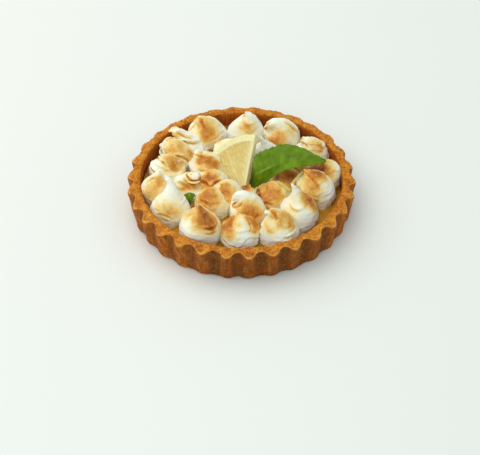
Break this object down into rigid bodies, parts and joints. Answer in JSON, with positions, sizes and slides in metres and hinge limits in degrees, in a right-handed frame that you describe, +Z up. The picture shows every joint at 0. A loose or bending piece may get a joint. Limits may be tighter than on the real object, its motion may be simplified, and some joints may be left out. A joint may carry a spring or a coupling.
{
  "type": "lemon meringue pie",
  "caption": "Small round pie in a fluted pastry case, filled with lemon curd and crowded with toasted meringue kisses, with a leaning lemon wedge, a mint leaf and strips of zest.",
  "frame": {"origin": "middle of the flat underside of the pastry case", "axes": "+Z up through the pie, -Y towards the front, where the first row of kisses stands, +X towards the tip of the mint leaf"},
  "size_m": [0.1206, 0.1202, 0.0343],
  "materials": {
    "pastry": "baked, crumbly and matte",
    "curd": "set curd with a soft gloss",
    "meringue": "soft white, toasted golden to brown on top",
    "lemon": "moist pale flesh with a cream pith and a thin peel",
    "mint": "veined leaf with a faint sheen",
    "zest": "candied and translucent"
  },
  "bodies": {
    "root": {"pastry_case": "pastry", "lemon_curd": "curd", "kiss_01": "meringue", "kiss_02": "meringue", "kiss_03": "meringue", "kiss_04": "meringue", "kiss_05": "meringue", "kiss_06": "meringue", "kiss_07": "meringue", "kiss_08": "meringue", "kiss_09": "meringue", "kiss_10": "meringue", "kiss_11": "meringue", "kiss_12": "meringue", "kiss_13": "meringue", "kiss_14": "meringue", "kiss_15": "meringue", "kiss_16": "meringue", "kiss_17": "meringue", "kiss_18": "meringue", "kiss_19": "meringue", "kiss_20": "meringue", "kiss_21": "meringue", "kiss_22": "meringue", "kiss_23": "meringue", "kiss_24": "meringue", "kiss_25": "meringue", "kiss_26": "meringue", "kiss_27": "meringue", "lemon_wedge": "lemon", "mint_leaf": "mint", "mint_sprig": "mint", "zest_left": "zest", "zest_right": "zest"}
  },
  "joints": []
}
